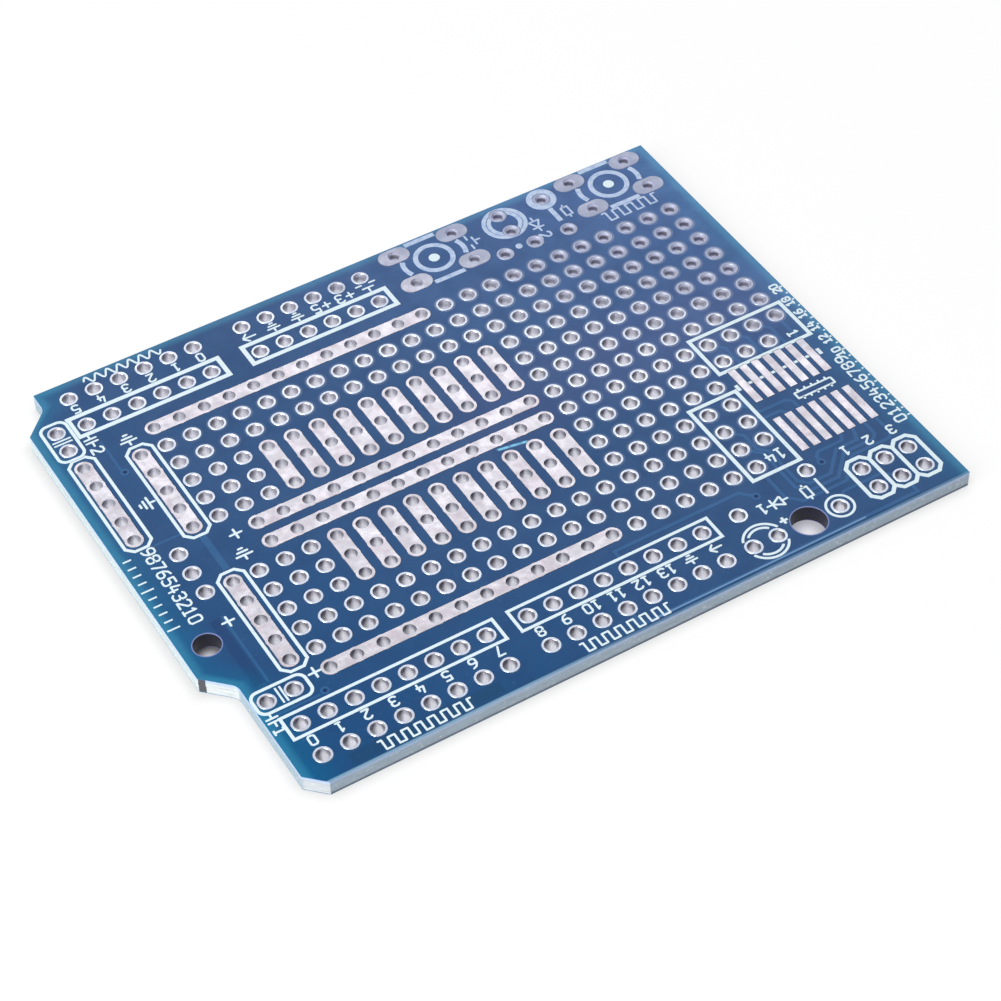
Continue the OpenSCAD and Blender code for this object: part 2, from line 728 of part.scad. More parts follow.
module led_legend() {
    plus_l = 0.8;
    plus_at = led_1 + [2.67, 1.15];
    ring_gap = 0.07;
    ink() {
        translate(led_1) for (turn = [90, 270]) rotate(turn) {
            arc(led_ring_r, thin_line_w, 65);
            arc(led_inner_r, thin_line_w, 45);
        }
        translate(plus_at) {
            square([plus_l, thin_line_w], center = true);
            square([thin_line_w, plus_l], center = true);
        }
        difference() {
            translate(led_2) for (r = [far_led_r, far_led_r - far_led_w - ring_gap])
                ring(r - far_led_w / 2, far_led_w);
            disc_at(led_2_holes, pad_d + 2 * mask_gap);
        }
        translate((link_holes[0] + link_holes[1]) / 2 + [0, 0.25]) circle(r = 0.35);
    }
}

// Ring at the standing end of a resistor and the line to its other pad
module resistor_legend() {
    lead_l = 2.1;
    pad_edge_r = pad_d / 2 + mask_gap;
    ink() {
        translate(resistor_1_ring) ring(resistor_ring_r, thin_line_w);
        translate(resistor_2_ring) ring((far_resistor_r + pad_edge_r) / 2, far_resistor_r - pad_edge_r);
        translate((resistor_1_ring + resistor_1_end) / 2 + [0, 0.3])
            square([thin_line_w, lead_l], center = true);
        translate((resistor_2_ring + resistor_2_end) / 2 - [0, 0.1])
            square([bold_line_w, lead_l], center = true);
    }
}

// Case line of the chip, printed between its far pads, with a tick at each end
module chip_legend() {
    gap = chip_pitch - chip_pad_w - 2 * mask_gap;
    y = chip_far_y + 0.1;
    ink() {
        for (i = [0:chip_count - 2])
            translate([chip_pad_x(i) + chip_pitch / 2, y]) square([gap - 0.06, line_w], center = true);
        for (s = [-1, 1])
            translate([chip_pad_x(3) + s * (chip_pitch * 3 + chip_pad_w / 2 + 0.35), y])
                square([0.35, 0.8], center = true);
    }
}

laminate();
top_solder_mask();
bottom_solder_mask();
breakout_tracks();
signal_tracks();
vias();
outer_digital_pads();
inner_digital_pads();
outer_analog_pads();
inner_analog_pads();
outer_power_pads();
inner_power_pads();
far_field_pads();
left_field_pads();
right_field_pads();
near_field_pads();
far_dip_strips();
near_dip_strips();
far_ground_rail();
centre_supply_rail();
centre_ground_rail();
near_supply_rail();
edge_strip();
ground_strip();
supply_strip();
loose_pads();
capacitor_pads();
programming_pads();
led_pads();
resistor_pads();
link_pads();
user_switch_pads();
reset_switch_pads();
chip_far_pads();
chip_near_pads();
far_breakout_pads();
near_breakout_pads();
header_legend();
strip_legend();
capacitor_legend();
breakout_legend();
programming_legend();
switch_legend();
led_legend();
resistor_legend();
chip_legend();
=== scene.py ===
"""Studio scene of a bare prototype circuit board, lying on a pale floor."""

import math

import bpy
from mathutils import Matrix, Vector


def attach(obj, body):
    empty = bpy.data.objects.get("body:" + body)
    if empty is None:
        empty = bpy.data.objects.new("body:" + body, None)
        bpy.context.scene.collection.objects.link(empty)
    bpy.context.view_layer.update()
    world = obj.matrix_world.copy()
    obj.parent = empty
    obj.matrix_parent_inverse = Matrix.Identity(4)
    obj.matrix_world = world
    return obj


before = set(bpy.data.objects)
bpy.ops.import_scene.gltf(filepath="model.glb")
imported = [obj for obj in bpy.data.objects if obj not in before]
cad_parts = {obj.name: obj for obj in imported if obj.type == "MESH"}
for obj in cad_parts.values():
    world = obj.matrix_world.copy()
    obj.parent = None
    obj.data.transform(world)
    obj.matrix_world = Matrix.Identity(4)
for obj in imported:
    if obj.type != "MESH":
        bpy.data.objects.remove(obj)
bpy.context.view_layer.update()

MM = 0.001

# Sizes of the board that the pieces made here share with the solids, in millimetres
BOARD_L, BOARD_W = 68.8, 53.1
STEP_DEPTH = 2.5
LEFT, RIGHT = -BOARD_L / 2, BOARD_L / 2
FAR, NEAR = BOARD_W / 2, -BOARD_W / 2
PITCH = 2.54
MASK_TOP = 1.72
HEADER_X = LEFT + 5.08
NEAR_OUTER_Y, NEAR_INNER_Y = NEAR + 2.72, NEAR + 6.53
FAR_OUTER_Y, FAR_INNER_Y = FAR - 2.12, FAR - 5.93
SECOND_DIGITAL_X = HEADER_X + 7 * PITCH + 4.064
POWER_X = HEADER_X + 7 * PITCH
FIELD_X, FIELD_Y = LEFT + 10.06, FAR - 9.59
VIAS = (
    (LEFT + 51.15, NEAR_INNER_Y + 1.07),
    (RIGHT - 10.34, NEAR_INNER_Y + 1.42),
    (LEFT + 5.37, FAR - 13.22),
    (LEFT + 8.44, NEAR_INNER_Y + 1.97),
)
USER_SWITCH = (LEFT + 43.01, FAR - 3.4)
RESET_SWITCH = (RIGHT - 5.9, FAR - 3.28)
NOTCH_CORNER = (LEFT, FAR - 37.8)

# Centres and radii of the two mounting holes, the left one first
MOUNTS = (((LEFT + 2.4, FAR - 35.0), 1.25), ((LEFT + 53.4, NEAR + 2.77), 1.65))

# Grids of round pads: lowest left hole, columns and rows
PAD_GRIDS = (
    ((FIELD_X, FIELD_Y - 13 * PITCH), 23, 14),
    ((HEADER_X, NEAR_OUTER_Y), 8, 1),
    ((HEADER_X, NEAR_INNER_Y), 8, 1),
    ((SECOND_DIGITAL_X, NEAR_OUTER_Y), 8, 1),
    ((SECOND_DIGITAL_X, NEAR_INNER_Y), 8, 1),
    ((HEADER_X, FAR_OUTER_Y), 13, 1),
    ((HEADER_X, FAR_INNER_Y), 13, 1),
    ((FIELD_X - 2 * PITCH, FIELD_Y - 8 * PITCH + 0.24), 1, 3),
    ((LEFT + 5.07 - PITCH / 2, NEAR_INNER_Y + 3.5), 2, 1),
    ((LEFT + 2.23, FAR - 6.85 - PITCH / 2), 1, 2),
    ((RIGHT - 2.74 - 2 * PITCH, NEAR_OUTER_Y + 0.15), 3, 2),
)


def field_grid(column, row, columns, rows):
    """A grid of holes of the field, given by its lowest left column and row."""
    return ((FIELD_X + PITCH * column, FIELD_Y - PITCH * row), columns, rows)


# Blocks of single pads, with a pale haze round them in the lacquer
HAZE_GRIDS = (
    field_grid(12, 2, 11, 3),
    field_grid(0, 2, 12, 2),
    field_grid(13, 7, 10, 5),
    field_grid(19, 8, 3, 1),
    field_grid(13, 9, 6, 2),
    field_grid(13, 12, 6, 3),
    field_grid(12, 13, 6, 1),
    field_grid(0, 12, 13, 2),
)

# Pale borders of the copper under the lacquer, each between two corners
COPPER_BORDERS = (
    ((-29.65, -14.8), (-29.3, -6.2)),
    ((-27.05, -1.8), (-26.3, 3.2)),
    ((-29.4, 13.7), (-29.05, 18.0)),
    ((-30.9, 3.85), (-28.1, 4.2)),
    ((-31.8, -18.4), (-26.4, -18.05)),
)


# Materials


def srgb(red, green, blue):
    """Linear colour of a colour given in 0 to 255."""

    def one(value):
        value /= 255
        return value / 12.92 if value <= 0.04045 else ((value + 0.055) / 1.055) ** 2.4

    return (one(red), one(green), one(blue), 1.0)


class Finish:
    """A material with a Principled shader and short ways to add nodes to it.

    Its coordinates x, y, z and the ranges and distances worked out from them are in metres.
    """

    def __init__(self, name, roughness, metallic=0.0, specular=0.5):
        self.material = bpy.data.materials.new(name)
        self.material.use_nodes = True
        self.nodes = self.material.node_tree.nodes
        self.links = self.material.node_tree.links
        self.shader = self.nodes["Principled BSDF"]
        self.shader.inputs["Roughness"].default_value = roughness
        self.shader.inputs["Metallic"].default_value = metallic
        self.shader.inputs["Specular IOR Level"].default_value = specular
        self.place = self.nodes.new("ShaderNodeTexCoord").outputs["Object"]
        split = self.nodes.new("ShaderNodeSeparateXYZ")
        self.links.new(self.place, split.inputs[0])
        self.x, self.y, self.z = split.outputs
        self.facing = self.place.node.outputs["Normal"]

    def put(self, socket, value):
        if isinstance(value, bpy.types.NodeSocket):
            self.links.new(value, socket)
        elif value is not None:
            socket.default_value = value

    def math(self, operation, a, b=None, c=None):
        node = self.nodes.new("ShaderNodeMath")
        node.operation = operation
        for socket, value in zip(node.inputs, (a, b, c)):
            self.put(socket, value)
        return node.outputs[0]

    def stretched(self, scale):
        node = self.nodes.new("ShaderNodeMapping")
        node.inputs["Scale"].default_value = scale
        self.links.new(self.place, node.inputs["Vector"])
        return node.outputs[0]

    def noise(self, scale, detail=3.0, roughness=0.5, vector=None):
        node = self.nodes.new("ShaderNodeTexNoise")
        node.inputs["Scale"].default_value = scale
        node.inputs["Detail"].default_value = detail
        node.inputs["Roughness"].default_value = roughness
        self.links.new(vector or self.place, node.inputs["Vector"])
        return node.outputs["Fac"]

    def range(self, value, low, high, to_low=0.0, to_high=1.0, smooth=True):
        node = self.nodes.new("ShaderNodeMapRange")
        node.interpolation_type = "SMOOTHSTEP" if smooth else "LINEAR"
        names = ("Value", "From Min", "From Max", "To Min", "To Max")
        for name, given in zip(names, (value, low, high, to_low, to_high)):
            self.put(node.inputs[name], given)
        return node.outputs["Result"]

    def mix(self, factor, first, second, blend="MIX"):
        node = self.nodes.new("ShaderNodeMix")
        node.data_type = "RGBA"
        node.blend_type = blend
        self.put(node.inputs[0], factor)
        self.put(node.inputs[6], first)
        self.put(node.inputs[7], second)
        return node.outputs[2]

    def product(self, first, *others):
        for other in others:
            first = self.math("MULTIPLY", first, other)
        return first

    def off(self, value, centre):
        """How far a value lies from a centre, on either side of it."""
        return self.math("ABSOLUTE", self.math("SUBTRACT", value, centre))

    def distance(self, point):
        """Distance in metres from a point given in millimetres, seen from above."""
        across = self.math("SUBTRACT", self.x, point[0] * MM)
        along = self.math("SUBTRACT", self.y, point[1] * MM)
        squared = self.math("ADD", self.product(across, across), self.product(along, along))
        return self.math("SQRT", squared)

    def disc(self, point, inner, outer, strength=1.0):
        """A round spot on a point, full inside one radius and gone at another, in millimetres."""
        return self.range(self.distance(point), inner * MM, outer * MM, strength, 0.0)

    def near_mounts(self, inner, outer):
        """1 in both mounting holes, gone between two distances in millimetres from their walls."""
        spots = [self.disc(centre, radius + inner, radius + outer) for centre, radius in MOUNTS]
        return self.math("MAXIMUM", *spots)

    def vector(self, operation, a, b=None):
        node = self.nodes.new("ShaderNodeVectorMath")
        node.operation = operation
        self.put(node.inputs[0], a)
        self.put(node.inputs[1], b)
        return node.outputs["Value" if operation in ("DOT_PRODUCT", "LENGTH") else "Vector"]

    def towards(self, direction):
        """How much the surface faces a direction, from -1 to 1."""
        return self.vector("DOT_PRODUCT", self.facing, direction)

    def hole_distance(self, start, columns, rows):
        """Distance in metres from the axis of the nearest hole of a grid, seen from above."""
        step = PITCH * MM
        offset = self.vector("SUBTRACT", self.place, (start[0] * MM, start[1] * MM, 0.0))
        nearest = self.vector("ADD", offset, (step / 2, step / 2, 0.0))
        nearest = self.vector("SNAP", nearest, (step, step, 1.0))
        nearest = self.vector("MINIMUM", nearest, ((columns - 1) * step, (rows - 1) * step, 0.0))
        nearest = self.vector("MAXIMUM", nearest, (0.0, 0.0, 0.0))
        away = self.vector("SUBTRACT", offset, nearest)
        return self.vector("LENGTH", self.vector("MULTIPLY", away, (1.0, 1.0, 0.0)))

    def nearest_hole(self, grids):
        """Distance in metres from the axis of the nearest hole of several grids."""
        nearest = self.hole_distance(*grids[0])
        for grid in grids[1:]:
            nearest = self.math("MINIMUM", nearest, self.hole_distance(*grid))
        return nearest

    def patch(self, low, high, soft=0.12):
        """1 in a rectangle between two corners in millimetres, seen from above, and 0 outside."""
        inside = []
        for value, start, end in ((self.x, low[0], high[0]), (self.y, low[1], high[1])):
            half = (end - start) / 2
            off = self.off(value, (start + end) / 2 * MM)
            inside.append(self.range(off, (half - soft) * MM, half * MM, 1.0, 0.0))
        return self.product(*inside)

    def colour(self, value):
        self.put(self.shader.inputs["Base Color"], value)

    def roughness(self, value):
        self.put(self.shader.inputs["Roughness"], value)

    def bump(self, height, depth, strength=1.0):
        node = self.nodes.new("ShaderNodeBump")
        node.inputs["Strength"].default_value = strength
        node.inputs["Distance"].default_value = depth
        self.links.new(height, node.inputs["Height"])
        self.links.new(node.outputs[0], self.shader.inputs["Normal"])


def across_board(finish):
    """How far a point lies towards the far right corner: about -1 near left, 1 far right."""
    along = finish.math("MULTIPLY", finish.x, 1 / 0.067)
    return finish.math("MULTIPLY_ADD", finish.y, 1 / 0.055, along)


def solder_mask_finish():
    """Blue lacquer over copper: teal along the edges, paler far right from a painted sheen, with a
    scratch.
    """
    finish = Finish("blue_lacquer", roughness=0.3, specular=0.12)
    place = across_board(finish)
    cloud = finish.product(finish.math("SUBTRACT", finish.noise(70.0, detail=2.0), 0.5), 0.5)
    place = finish.math("ADD", place, cloud)
    # A painted sheen: the lacquer goes from deep teal near left to paler blue far right
    base = finish.mix(finish.range(place, -0.95, -0.1), srgb(18, 75, 125), srgb(45, 83, 129))
    base = finish.mix(finish.range(place, 0.0, 1.0), base, srgb(73, 106, 160))
    blotch = finish.noise(420.0, detail=3.0)
    base = finish.mix(finish.range(blotch, 0.35, 0.7, 0.0, 0.3), base, srgb(30, 62, 110))
    fleck = finish.noise(2600.0, detail=2.0)
    base = finish.mix(finish.range(fleck, 0.62, 0.8, 0.0, 0.2), base, srgb(70, 112, 165))
    # Pale haze lies round the single pads, more of it towards the far right
    haze = finish.range(finish.nearest_hole(HAZE_GRIDS), 0.00084, 0.0011, 1.0, 0.0)
    haze = finish.product(haze, finish.range(place, -0.3, 0.35, 0.0, 0.34))
    base = finish.mix(haze, base, srgb(190, 199, 226))
    # The copper tracks shine through their ridges as a lighter blue
    ridge = finish.range(finish.z, (MASK_TOP + 0.004) * MM, (MASK_TOP + 0.014) * MM, 0.0, 0.3)
    base = finish.mix(ridge, base, srgb(72, 125, 180))
    # and broad copper lies under the left part, with a dark gap and pale borders
    gap = finish.patch((-30.9, -14.8), (-29.6, -6.2), 0.3)
    base = finish.mix(finish.product(gap, 0.45), base, srgb(22, 50, 100))
    for low, high in COPPER_BORDERS:
        border = finish.patch(low, high)
        base = finish.mix(finish.product(border, 0.25), base, srgb(70, 132, 186))
    # A dark line and a bright one run along the near edge, and the near left corner is deeper
    dark_line = finish.patch((LEFT + 7.0, NEAR + 0.2), (RIGHT, NEAR + 0.42))
    base = finish.mix(finish.product(dark_line, 0.45), base, srgb(25, 65, 100))
    bright_line = finish.patch((1.5, NEAR + 0.38), (23.5, NEAR + 0.64))
    base = finish.mix(finish.product(bright_line, 0.6), base, srgb(140, 182, 222))
    deep = finish.patch((LEFT + 6.5, NEAR + 0.2), (-13.0, NEAR + 2.0), 0.5)
    base = finish.mix(finish.product(deep, 0.35), base, srgb(22, 62, 84))
    for via in VIAS:
        base = finish.mix(finish.disc(via, 0.13, 0.24, 0.8), base, srgb(18, 36, 78))
    # A scratch beside the strips: a short bright streak that falls a little to the right
    fall = finish.math("MULTIPLY_ADD", finish.x, -0.17, -0.00192)
    streak = finish.product(
        finish.range(finish.off(finish.x, 0.0019), 0.0012, 0.0016, 1.0, 0.0),
        finish.range(finish.off(finish.y, fall), 0.00007, 0.0002, 1.0, 0.0),
        finish.range(finish.noise(1900.0), 0.3, 0.6, 0.45, 1.0),
    )
    base = finish.mix(streak, base, srgb(132, 205, 240))
    # The lacquer thins towards the left, right and far edges, where the pale laminate
    # lights it up. The left edge steps inwards at both of its ends
    centre_y = (NOTCH_CORNER[1] + FAR - 4.45) / 2 * MM
    end = finish.off(finish.y, centre_y)
    step = finish.range(end, 0.0166, 0.0191, 0.0, STEP_DEPTH * MM, smooth=False)
    left = finish.math("SUBTRACT", finish.math("SUBTRACT", finish.x, LEFT * MM), step)
    side = finish.math("MINIMUM", left, finish.math("SUBTRACT", RIGHT * MM, finish.x))
    edge = finish.math("MINIMUM", side, finish.math("SUBTRACT", FAR * MM, finish.y))
    by_side = finish.range(side, 0.0004, 0.004, 1.0, 0.0)
    base = finish.mix(by_side, base, (0.0, 0.03, 0.045, 1.0), "ADD")
    by_left = finish.range(left, 0.0004, 0.004, 1.0, 0.0)
    base = finish.mix(by_left, base, (0.006, 0.0, 0.0, 1.0), "SUBTRACT")
    # The painted sheen also makes the right part paler
    right_part = finish.patch((-5.0, -5.0), (40.0, 10.0), 6.0)
    base = finish.mix(right_part, base, (0.016, 0.006, 0.014, 1.0), "ADD")
    by_edge = finish.range(edge, 0.0002, 0.0011, 1.0, 0.0)
    base = finish.mix(by_edge, base, (0.016, 0.085, 0.1, 1.0), "ADD")
    # It ends in a pale rim at the two mounting holes
    base = finish.mix(finish.near_mounts(0.06, 0.12), base, srgb(128, 140, 190))
    # and in a pale line along the near edge, brightest at its left part
    near_line = finish.product(
        finish.range(finish.y, (NEAR + 0.05) * MM, (NEAR + 0.27) * MM, 1.0, 0.0),
        finish.range(finish.x, -0.014, 0.0, 0.85, 0.4),
    )
    finish.colour(finish.mix(near_line, base, srgb(140, 180, 205)))
    finish.roughness(finish.range(finish.noise(300.0), 0.3, 0.7, 0.26, 0.38))
    finish.bump(finish.noise(700.0, detail=2.0), 0.00002, 0.35)
    return finish.material


def tin_finish(name, grids):
    """Hot tinned copper: pale mottled lands with a painted bright rim, and bores with painted
    highlights and painted shade, dark on their left side.
    """
    finish = Finish(name, roughness=0.34, metallic=0.55, specular=0.5)
    distant = finish.range(across_board(finish), 0.28, 0.64)
    mottle = finish.noise(520.0, detail=3.0, roughness=0.6)
    base = finish.mix(finish.range(mottle, 0.4, 0.66), srgb(210, 207, 216), srgb(198, 190, 200))
    pool = finish.noise(1500.0, detail=2.0)
    base = finish.mix(finish.range(pool, 0.5, 0.75, 0.0, 0.6), base, srgb(190, 192, 203))
    if grids:
        # A painted highlight: a bright rim round each pad
        rim = finish.range(finish.nearest_hole(grids), 0.0006, 0.00076, 0.0, 0.9)
        base = finish.mix(rim, base, srgb(204, 217, 238))
    base = finish.mix(finish.product(distant, 0.9), base, srgb(174, 182, 207))
    # Painted highlight and shade in the bores: the metal is bright where a bore faces the eye, dark
    # to its left and dimmer to its right
    side = finish.towards((-0.865, 0.502, 0.0))
    glint = finish.range(finish.off(side, 0.28), 0.15, 1.05, 0.8, 0.0)
    glint = finish.math("MAXIMUM", glint, finish.range(side, 0.0, 0.9, 0.0, 0.4))
    light = finish.math("ADD", glint, finish.range(finish.z, 0.0017, 0.0009, -0.08, 0.3))
    streak = finish.noise(1.0, detail=2.0, vector=finish.stretched((5000.0, 5000.0, 500.0)))
    light = finish.math("ADD", light, finish.range(streak, 0.3, 0.7, -0.08, 0.08))
    # Painted light makes the bores of the far rows lighter, above all at their tops
    row = finish.range(finish.y, -0.018, 0.016)
    top = finish.range(finish.z, 0.00145, 0.0017, 0.25, 0.43)
    light = finish.math("ADD", light, finish.math("MULTIPLY_ADD", row, top, -0.11))
    bore = finish.mix(light, srgb(86, 85, 98), srgb(236, 236, 246))
    # Far bores are painted bright round a painted dark middle
    off_middle = finish.range(finish.off(finish.z, 0.00114), 0.0001, 0.00038)
    at_sides = finish.range(finish.math("ABSOLUTE", side), 0.55, 0.95)
    bright = finish.math("MAXIMUM", off_middle, at_sides)
    far_bore = finish.mix(bright, srgb(126, 125, 140), srgb(234, 236, 251))
    bore = finish.mix(distant, bore, far_bore)
    land = finish.range(finish.z, (MASK_TOP - 0.03) * MM, (MASK_TOP + 0.005) * MM)
    finish.colour(finish.mix(land, bore, base))
    finish.put(finish.shader.inputs["Metallic"], finish.range(land, 0.0, 1.0, 0.85, 0.5))
    gloss = finish.range(finish.noise(900.0), 0.3, 0.7, 0.22, 0.4)
    finish.roughness(finish.math("MULTIPLY_ADD", distant, 0.3, gloss))
    finish.bump(finish.noise(1300.0, detail=2.0), 0.00004, 0.5)
    return finish.material


def laminate_finish():
    """Glass and epoxy: cut edges with fibre layers and painted light by the way they face,
    mounting-hole walls painted dark as shade, a dark nick at the left.
    """
    finish = Finish("glass_laminate", roughness=0.55, specular=0.35)
    # Painted light by the way the cut faces face: the outer left face, the notch, the faces by the
    # near edge and the near face are painted paler than the rest, each by its own amount
    near_side = finish.range(finish.towards((0.0, -1.0, 0.0)), 0.85, 0.97)
    notch_middle = (LEFT + STEP_DEPTH / 2, NOTCH_CORNER[1] - STEP_DEPTH / 2)
    notch = finish.disc(notch_middle, 1.7, 2.1)
    inner = finish.range(finish.x, (LEFT + 2.0) * MM, (LEFT + 2.3) * MM)
    body = finish.mix(inner, srgb(190, 203, 204), srgb(152, 172, 182))
    chamfer = finish.range(finish.y, (NEAR + 1.5) * MM, (NEAR + 1.8) * MM, 1.0, 0.0)
    body = finish.mix(notch, body, srgb(210, 216, 216))
    body = finish.mix(chamfer, body, srgb(194, 200, 204))
    body = finish.mix(near_side, body, srgb(164, 181, 195))
    layer = finish.noise(1.0, detail=2.0, vector=finish.stretched((500.0, 500.0, 9000.0)))
    base = finish.mix(finish.range(layer, 0.35, 0.65, 0.0, 0.22), body, srgb(84, 92, 104))
    speck = finish.noise(3000.0, detail=2.0)
    base = finish.mix(finish.range(speck, 0.56, 0.75, 0.0, 0.4), base, srgb(222, 226, 228))
    # The near face has a painted shade at its foot, by the floor, and a bluish top line
    low = finish.product(near_side, finish.range(finish.z, 0.00012, 0.00042, 0.9, 0.0))
    base = finish.mix(low, base, srgb(74, 78, 88))
    high = finish.range(finish.z, 0.0012, 0.0015, 0.0, 0.75)
    base = finish.mix(high, base, srgb(168, 190, 226))
    # The walls of the mounting holes are painted almost black, as painted shade
    base = finish.mix(finish.near_mounts(0.02, 0.05), base, srgb(4, 6, 30))
    from_nick = finish.distance((NOTCH_CORNER[0] + 0.28, NOTCH_CORNER[1] - 0.28))
    ragged = finish.math("MULTIPLY_ADD", finish.noise(2500.0, detail=2.0), 0.0002, from_nick)
    nick = finish.range(ragged, 0.0004, 0.00046, 0.95, 0.0)
    finish.colour(finish.mix(nick, base, srgb(58, 60, 66)))
    finish.bump(layer, 0.00003, 0.5)
    return finish.material


def ink_finish():
    """Screen-printed white ink, so thin towards the far right that the blue shows through."""
    finish = Finish("white_ink", roughness=0.5, specular=0.3)
    thin = finish.noise(1700.0, detail=3.0)
    worn = finish.range(thin, 0.55, 0.78, 0.0, 0.4)
    opaque = finish.mix(worn, srgb(226, 243, 250), srgb(184, 210, 230))
    faint = finish.mix(finish.range(thin, 0.4, 0.75), srgb(192, 209, 236), srgb(158, 182, 220))
    # It is faint beyond the hole field, except in the dots of the two switches
    beyond = finish.product(
        finish.range(finish.y, 0.0175, 0.0181),
        finish.range(finish.x, 0.003, 0.0038),
        finish.range(finish.distance(USER_SWITCH), 0.0008, 0.0011),
        finish.range(finish.distance(RESET_SWITCH), 0.0008, 0.0011),
    )
    finish.colour(finish.mix(beyond, opaque, faint))
    finish.bump(finish.noise(2600.0, detail=2.0), 0.00001, 0.4)
    return finish.material


def track_finish():
    """Copper under the lacquer, seen only where a track runs into a bare pad."""
    finish = Finish("lacquered_copper", roughness=0.35, metallic=0.6)
    tone = finish.range(finish.noise(1200.0, detail=2.0), 0.35, 0.65)
    finish.colour(finish.mix(tone, srgb(110, 150, 190), srgb(88, 130, 178)))
    return finish.material


MASK, STRIP_TIN, PAD_TIN, LAMINATE, INK, TRACK = (
    solder_mask_finish(),
    tin_finish("tinned_strips", ()),
    tin_finish("tinned_pads", PAD_GRIDS),
    laminate_finish(),
    ink_finish(),
    track_finish(),
)

for name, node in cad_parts.items():
    if name == "laminate":
        finish = LAMINATE
    elif name.endswith("solder_mask"):
        finish = MASK
    elif name.endswith("legend"):
        finish = INK
    elif name.endswith("tracks") or name == "vias":
        finish = TRACK
    elif name.startswith("chip") or name.endswith(("strip", "strips", "rail", "switch_pads")):
        finish = STRIP_TIN
    else:
        finish = PAD_TIN
    if not node.material_slots:
        node.data.materials.append(finish)
    for slot in node.material_slots:
        slot.material = finish


# Printed marks. Each is a list of strokes, and a stroke is a list of points in a box 1 high

NUMERALS = {
    "0": [
        [(0.14, 0), (0.46, 0), (0.6, 0.14), (0.6, 0.86), (0.46, 1), (0.14, 1), (0, 0.86), (0, 0.14),
         (0.14, 0)],
    ],
    "1": [[(0.1, 0.8), (0.3, 1), (0.3, 0)], [(0.1, 0), (0.5, 0)]],
    "2": [[(0, 0.86), (0.14, 1), (0.46, 1), (0.6, 0.86), (0.6, 0.64), (0, 0.06), (0, 0), (0.6, 0)]],
    "3": [
        [(0, 0.88), (0.14, 1), (0.46, 1), (0.6, 0.86), (0.6, 0.64), (0.46, 0.52), (0.22, 0.52)],
        [(0.46, 0.52), (0.6, 0.38), (0.6, 0.14), (0.46, 0), (0.14, 0), (0, 0.12)],
    ],
    "4": [[(0.16, 1), (0, 0.36), (0.6, 0.36)], [(0.46, 0.7), (0.46, 0)]],
    "5": [
        [(0.56, 1), (0.04, 1), (0.02, 0.58), (0.44, 0.58), (0.6, 0.44), (0.6, 0.14), (0.46, 0),
         (0.12, 0), (0, 0.1)],
    ],
    "6": [
        [(0.5, 1), (0.2, 0.88), (0, 0.56), (0, 0.14), (0.14, 0), (0.46, 0), (0.6, 0.14),
         (0.6, 0.38), (0.46, 0.52), (0.02, 0.52)],
    ],
    "7": [[(0, 1), (0.6, 1), (0.2, 0)]],
    "8": [
        [(0.14, 0.52), (0, 0.64), (0, 0.86), (0.14, 1), (0.46, 1), (0.6, 0.86), (0.6, 0.64),
         (0.46, 0.52), (0.14, 0.52)],
        [(0.14, 0.52), (0, 0.38), (0, 0.14), (0.14, 0), (0.46, 0), (0.6, 0.14), (0.6, 0.38),
         (0.46, 0.52)],
    ],
    "9": [
        [(0.1, 0), (0.4, 0.12), (0.6, 0.44), (0.6, 0.86), (0.46, 1), (0.14, 1), (0, 0.86),
         (0, 0.62), (0.14, 0.48), (0.58, 0.48)],
    ],
}
NUMERAL_STEP = 0.85

SIGNS = {
    "ground": [
        [(0.55, 1), (0.55, 0.62)],
        [(0, 0.62), (1.1, 0.62)],
        [(0.2, 0.3), (0.9, 0.3)],
        [(0.42, 0), (0.68, 0)],
    ],
    "plus": [[(0, 0.5), (1, 0.5)], [(0.5, 0), (0.5, 1)]],
    "arrow": [[(0, 0.5), (1.3, 0.5)], [(0.8, 1), (1.3, 0.5), (0.8, 0)]],
    "lamp": [
        [(0, 0.5), (0.5, 0.5)],
        [(0.5, 0), (0.5, 1), (1.4, 0.5), (0.5, 0)],
        [(1.4, 0), (1.4, 1)],
        [(1.4, 0.5), (1.9, 0.5)],
    ],
    "resistor": [
        [(0, 0.5), (0.3, 0.5)],
        [(0.3, 0.15), (1.5, 0.15), (1.5, 0.85), (0.3, 0.85), (0.3, 0.15)],
        [(1.5, 0.5), (1.8, 0.5)],
    ],
    "capacitor": [
        [(0, 0.5), (0.5, 0.5)],
        [(0.5, 0), (0.5, 1)],
        [(0.9, 0), (0.9, 1)],
        [(0.9, 0.5), (1.4, 0.5)],
    ],
    "button": [
        [(0, 0), (0.5, 0)],
        [(1.3, 0), (1.8, 0)],
        [(0.4, 0.5), (1.4, 0.5)],
        [(0.9, 0.5), (0.9, 1)],
    ],
    "chip": [[(0, 0.2), (0, 0.8), (3.2, 0.8), (3.2, 0.2), (0, 0.2)]]
    + [
        [(0.4 + 0.6 * pin, level), (0.4 + 0.6 * pin, level + 0.2)]
        for pin in range(5)
        for level in (0, 0.8)
    ],
}


def square_wave(count):
    pulse = 1.2
    points = [(0, 0)]
    for start in (pulse * place for place in range(count)):
        points += [(start + 0.3, 0), (start + 0.3, 1), (start + 0.9, 1), (start + 0.9, 0)]
    return [points + [(count * pulse, 0)]]


def sine_wave(count):
    steps = 12
    turns = [step / steps for step in range(count * steps + 1)]
    return [[(1.3 * turn, 0.5 + 0.5 * math.sin(2 * math.pi * turn)) for turn in turns]]


def digits(number):
    """The strokes of a number, written from left to right."""
    strokes = []
    for place, character in enumerate(str(number)):
        left = place * NUMERAL_STEP
        strokes += [[(x + left, y) for x, y in stroke] for stroke in NUMERALS[character]]
    return strokes


